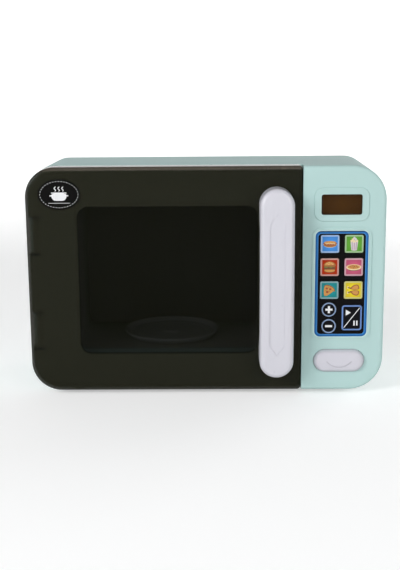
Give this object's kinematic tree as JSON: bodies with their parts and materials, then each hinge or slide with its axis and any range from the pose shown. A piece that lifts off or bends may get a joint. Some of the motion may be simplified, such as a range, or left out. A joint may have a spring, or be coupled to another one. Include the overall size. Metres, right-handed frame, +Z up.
{
  "type": "toy oven",
  "caption": "Toy microwave oven: mint case, smoky swing door with a white handle, turntable on a gear train, keypad, display and push-button door release.",
  "frame": {"origin": "under the middle of the whole toy, on the surface that its feet stand on", "axes": "+X to the child's right, +Y into the case, so the door and panel face -Y, +Z up"},
  "size_m": [0.32, 0.156, 0.209],
  "materials": {
    "mint_plastic": "satin moulded ABS, mint green",
    "liner_plastic": "light grey moulded plastic",
    "foot_rubber": "matt black rubber",
    "steel": "zinc-plated steel",
    "display_smoke": "brown smoked clear plastic",
    "display_black": "display glass in a black frame",
    "keypad_print": "printed film, black field with a blue border",
    "silicone": "grey silicone",
    "board_green": "green circuit board",
    "component_black": "black moulded plastic",
    "lamp_white": "frosted clear plastic",
    "led_clear": "clear epoxy",
    "gearbox_plastic": "grey moulded plastic",
    "motor_steel": "nickel-plated can",
    "speaker_black": "black cone and basket",
    "contact_nickel": "nickel-plated spring steel",
    "smoky_door": "tinted clear plastic, glossy",
    "white_plastic": "glossy white plastic",
    "badge_black": "black plate with a thin printed ring",
    "plate_plastic": "glossy pale plastic",
    "gear_nylon": "natural nylon",
    "key_blue": "clear-edged key with a blue print",
    "key_green": "clear-edged key with a green print",
    "key_red": "clear-edged key with a red print",
    "key_pink": "clear-edged key with a pink print",
    "key_teal": "clear-edged key with a teal print",
    "key_yellow": "clear-edged key with a yellow print",
    "key_black": "clear-edged key with a black print"
  },
  "bodies": {
    "case": {"front_housing": "mint_plastic", "rear_housing": "mint_plastic", "cavity_liner": "liner_plastic", "feet": "foot_rubber", "case_screws": "steel", "liner_screws": "steel", "hinge_pins": "steel", "display_lens": "display_smoke", "display_module": "display_black", "keypad_overlay": "keypad_print", "key_membrane": "silicone", "control_board": "board_green", "board_components": "component_black", "board_screws": "steel", "lever_pin": "steel", "latch_spring": "steel", "lamp_lens": "lamp_white", "lamp_board": "board_green", "lamp_led": "led_clear", "gearbox_base": "gearbox_plastic", "gearbox_cover": "gearbox_plastic", "gearbox_screws": "steel", "gear_pins": "steel", "motor": "motor_steel", "speaker": "speaker_black", "battery_contacts": "contact_nickel", "power_switch": "component_black"},
    "door": {"door_panel": "smoky_door", "door_handle": "white_plastic", "handle_screws": "steel", "door_badge": "badge_black"},
    "turntable": {"turntable_plate": "plate_plastic", "turntable_spindle": "gear_nylon", "output_gear": "gear_nylon"},
    "slow_gear": {"slow_gear": "gear_nylon"},
    "fast_gear": {"fast_gear": "gear_nylon"},
    "motor_rotor": {"motor_shaft": "steel", "motor_pinion": "gear_nylon"},
    "release_button": {"release_button": "white_plastic"},
    "latch_lever": {"latch_lever": "gear_nylon"},
    "power_slider": {"power_slider": "component_black"},
    "battery_cover": {"battery_cover": "mint_plastic", "battery_cover_screw": "steel"},
    "hot_dog_key": {"hot_dog_key": "key_blue"},
    "popcorn_key": {"popcorn_key": "key_green"},
    "burger_key": {"burger_key": "key_red"},
    "pie_key": {"pie_key": "key_pink"},
    "pizza_key": {"pizza_key": "key_teal"},
    "chicken_key": {"chicken_key": "key_yellow"},
    "plus_key": {"plus_key": "key_black"},
    "minus_key": {"minus_key": "key_black"},
    "play_key": {"play_key": "key_black"}
  },
  "joints": [
    {"name": "door_hinge", "type": "hinge", "parent": "case", "child": "door", "pos_m": [-0.1554, -0.0349, 0.1075], "axis": [0, 0, -1], "range_deg": [0, 95]},
    {"name": "turntable_spin", "type": "hinge", "parent": "case", "child": "turntable", "pos_m": [-0.034, 0.0113, 0.034], "axis": [0, 0, 1], "continuous": true},
    {"name": "slow_gear_spin", "type": "hinge", "parent": "case", "child": "slow_gear", "pos_m": [-0.0178, 0.0113, 0.027], "axis": [0, 0, 1], "continuous": true},
    {"name": "fast_gear_spin", "type": "hinge", "parent": "case", "child": "fast_gear", "pos_m": [-0.0097, 0.02533, 0.03], "axis": [0, 0, 1], "continuous": true},
    {"name": "motor_spin", "type": "hinge", "parent": "case", "child": "motor_rotor", "pos_m": [0.0065, 0.02533, 0.031], "axis": [0, 0, 1], "continuous": true},
    {"name": "release_press", "type": "slide", "parent": "case", "child": "release_button", "axis": [0, 1, 0], "range_m": [0, 0.003], "stiffness_N_per_m": 300, "springref_m": -0.002},
    {"name": "latch_swing", "type": "hinge", "parent": "case", "child": "latch_lever", "pos_m": [0.1035, -0.01, 0.048], "axis": [1, 0, 0], "range_deg": [0, 12], "deforming": ["latch_spring"]},
    {"name": "power_slide", "type": "slide", "parent": "case", "child": "power_slider", "axis": [1, 0, 0], "range_m": [0, 0.004]},
    {"name": "battery_cover_off", "type": "slide", "parent": "case", "child": "battery_cover", "axis": [0, 1, 0], "range_m": [0, 0.04]},
    {"name": "hot_dog_key_press", "type": "slide", "parent": "case", "child": "hot_dog_key", "axis": [0, 1, 0], "range_m": [0, 0.0006], "stiffness_N_per_m": 500, "springref_m": -0.0004},
    {"name": "popcorn_key_press", "type": "slide", "parent": "case", "child": "popcorn_key", "axis": [0, 1, 0], "range_m": [0, 0.0006], "stiffness_N_per_m": 500, "springref_m": -0.0004},
    {"name": "burger_key_press", "type": "slide", "parent": "case", "child": "burger_key", "axis": [0, 1, 0], "range_m": [0, 0.0006], "stiffness_N_per_m": 500, "springref_m": -0.0004},
    {"name": "pie_key_press", "type": "slide", "parent": "case", "child": "pie_key", "axis": [0, 1, 0], "range_m": [0, 0.0006], "stiffness_N_per_m": 500, "springref_m": -0.0004},
    {"name": "pizza_key_press", "type": "slide", "parent": "case", "child": "pizza_key", "axis": [0, 1, 0], "range_m": [0, 0.0006], "stiffness_N_per_m": 500, "springref_m": -0.0004},
    {"name": "chicken_key_press", "type": "slide", "parent": "case", "child": "chicken_key", "axis": [0, 1, 0], "range_m": [0, 0.0006], "stiffness_N_per_m": 500, "springref_m": -0.0004},
    {"name": "plus_key_press", "type": "slide", "parent": "case", "child": "plus_key", "axis": [0, 1, 0], "range_m": [0, 0.0006], "stiffness_N_per_m": 500, "springref_m": -0.0004},
    {"name": "minus_key_press", "type": "slide", "parent": "case", "child": "minus_key", "axis": [0, 1, 0], "range_m": [0, 0.0006], "stiffness_N_per_m": 500, "springref_m": -0.0004},
    {"name": "play_key_press", "type": "slide", "parent": "case", "child": "play_key", "axis": [0, 1, 0], "range_m": [0, 0.0006], "stiffness_N_per_m": 500, "springref_m": -0.0004}
  ],
  "couplings": [
    {"joint": "slow_gear_spin", "follows": "turntable_spin", "ratio": -3.5},
    {"joint": "fast_gear_spin", "follows": "turntable_spin", "ratio": 12.25},
    {"joint": "motor_spin", "follows": "turntable_spin", "ratio": -42.875},
    {"joint": "latch_swing", "follows": "release_press", "rad_per_m": 62.8}
  ]
}
